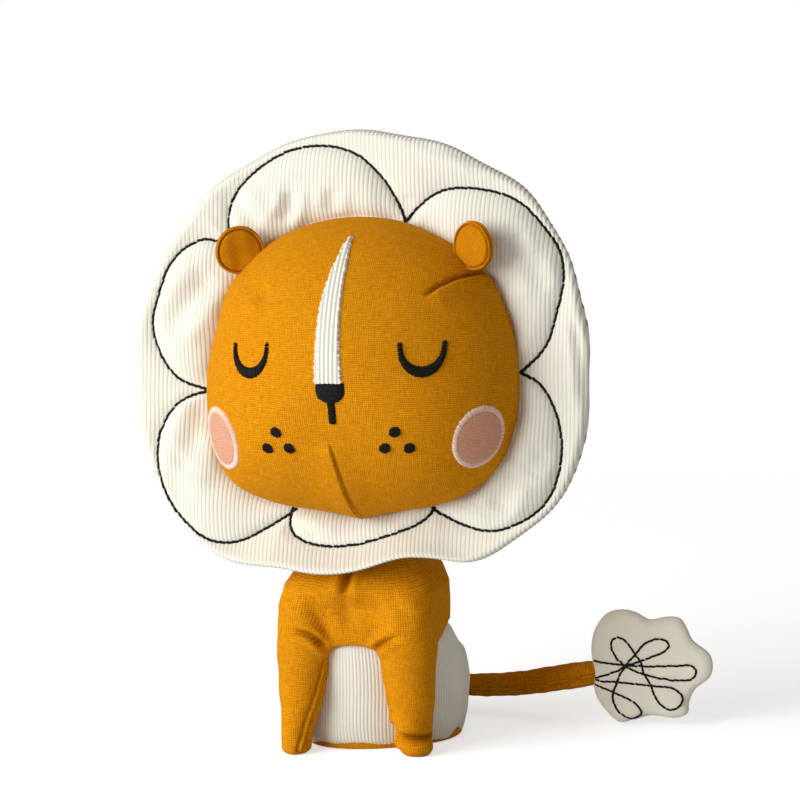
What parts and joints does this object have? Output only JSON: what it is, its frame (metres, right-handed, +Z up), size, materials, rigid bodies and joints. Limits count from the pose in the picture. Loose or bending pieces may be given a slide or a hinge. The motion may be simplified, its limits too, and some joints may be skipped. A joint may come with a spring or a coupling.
{
  "type": "plush lion",
  "caption": "Sitting plush lion with a round corduroy mane, closed embroidered eyes, soft front legs and a stitched tail tuft; its head, ears, legs and tail move softly.",
  "frame": {"origin": "on the ground under the middle of the seated body, on the flat sewn base", "axes": "+Z up, -Y the way the lion looks, +X the lion's left"},
  "size_m": [0.159, 0.0893, 0.175],
  "materials": {
    "mustard_cloth": "woven cotton twill, matt",
    "cream_cord": "fine needlecord, matt",
    "off_white_felt": "short-napped felt, matt",
    "black_thread": "embroidery thread, soft sheen",
    "pink_patch": "plain weave, matt",
    "pink_thread": "satin stitch, soft sheen",
    "stuffing": "loose polyester fibre"
  },
  "bodies": {
    "trunk": {"torso_cover": "mustard_cloth", "haunch_cover": "cream_cord", "base_panel": "mustard_cloth", "body_stuffing": "stuffing"},
    "leg_left": {"leg_left_cover": "mustard_cloth", "leg_left_stuffing": "stuffing"},
    "leg_right": {"leg_right_cover": "mustard_cloth", "leg_right_stuffing": "stuffing"},
    "neck": {"neck_cover": "mustard_cloth", "neck_stuffing": "stuffing"},
    "neck_collar": {"neck_stitch": "mustard_cloth"},
    "head": {"face_panel": "mustard_cloth", "back_head_panel": "mustard_cloth", "head_stuffing": "stuffing", "blaze": "cream_cord", "nose": "black_thread", "mouth_stitch": "black_thread", "eye_left": "black_thread", "eye_right": "black_thread", "cheek_patch_left": "pink_patch", "cheek_border_left": "pink_thread", "cheek_patch_right": "pink_patch", "cheek_border_right": "pink_thread", "whisker_dot_left_upper": "black_thread", "whisker_dot_left_outer": "black_thread", "whisker_dot_left_inner": "black_thread", "whisker_dot_right_upper": "black_thread", "whisker_dot_right_outer": "black_thread", "whisker_dot_right_inner": "black_thread", "mane_front": "cream_cord", "mane_back": "cream_cord", "mane_wadding": "stuffing", "mane_scallop_stitch_front": "black_thread", "mane_scallop_stitch_back": "black_thread"},
    "ear_left": {"ear_left_back": "mustard_cloth", "ear_left_front": "mustard_cloth"},
    "ear_right": {"ear_right_back": "mustard_cloth", "ear_right_front": "mustard_cloth"},
    "tail_root": {"tail_root": "mustard_cloth"},
    "tail": {"tail_tube": "mustard_cloth", "tail_stuffing": "stuffing"},
    "tuft": {"tuft_front": "off_white_felt", "tuft_back": "off_white_felt", "tuft_wadding": "stuffing", "tuft_loop_stitch_front": "black_thread", "tuft_loop_stitch_back": "black_thread"}
  },
  "joints": [
    {"name": "head_turn", "type": "hinge", "parent": "trunk", "child": "neck", "pos_m": [0, -0.001, 0.067], "axis": [0, 0, 1], "range_deg": [-25, 25], "stiffness_Nm_per_rad": 0.6},
    {"name": "head_tilt", "type": "hinge", "parent": "neck", "child": "neck_collar", "pos_m": [0, -0.001, 0.067], "axis": [0, 1, 0], "range_deg": [-8, 8], "stiffness_Nm_per_rad": 1},
    {"name": "head_nod", "type": "hinge", "parent": "neck_collar", "child": "head", "pos_m": [0, -0.001, 0.067], "axis": [1, 0, 0], "range_deg": [-15, 2], "stiffness_Nm_per_rad": 1},
    {"name": "leg_swing_left", "type": "hinge", "parent": "trunk", "child": "leg_left", "pos_m": [0.0151, -0.0186, 0.04], "axis": [-1, 0, 0], "range_deg": [0, 25], "stiffness_Nm_per_rad": 0.15},
    {"name": "leg_swing_right", "type": "hinge", "parent": "trunk", "child": "leg_right", "pos_m": [-0.0151, -0.0186, 0.04], "axis": [-1, 0, 0], "range_deg": [0, 25], "stiffness_Nm_per_rad": 0.15},
    {"name": "ear_fold_left", "type": "hinge", "parent": "head", "child": "ear_left", "pos_m": [0.03083, -0.01662, 0.14116], "axis": [0.7108, -0.0491, -0.7017], "range_deg": [-25, 12], "stiffness_Nm_per_rad": 0.01},
    {"name": "ear_fold_right", "type": "hinge", "parent": "head", "child": "ear_right", "pos_m": [-0.03117, -0.01676, 0.13907], "axis": [0.682, 0.051, 0.7296], "range_deg": [-25, 12], "stiffness_Nm_per_rad": 0.01},
    {"name": "tail_swing", "type": "hinge", "parent": "trunk", "child": "tail_root", "pos_m": [0, 0.0381, 0.0085], "axis": [0, 0, 1], "range_deg": [-5, 175], "stiffness_Nm_per_rad": 0.005},
    {"name": "tail_lift", "type": "hinge", "parent": "tail_root", "child": "tail", "pos_m": [0, 0.0381, 0.0085], "axis": [0, -1, 0], "range_deg": [0, 60], "stiffness_Nm_per_rad": 0.02},
    {"name": "tuft_bend", "type": "hinge", "parent": "tail", "child": "tuft", "pos_m": [0.056, 0.0345, 0.0144], "axis": [0, 0, 1], "range_deg": [-25, 25], "stiffness_Nm_per_rad": 0.01}
  ]
}
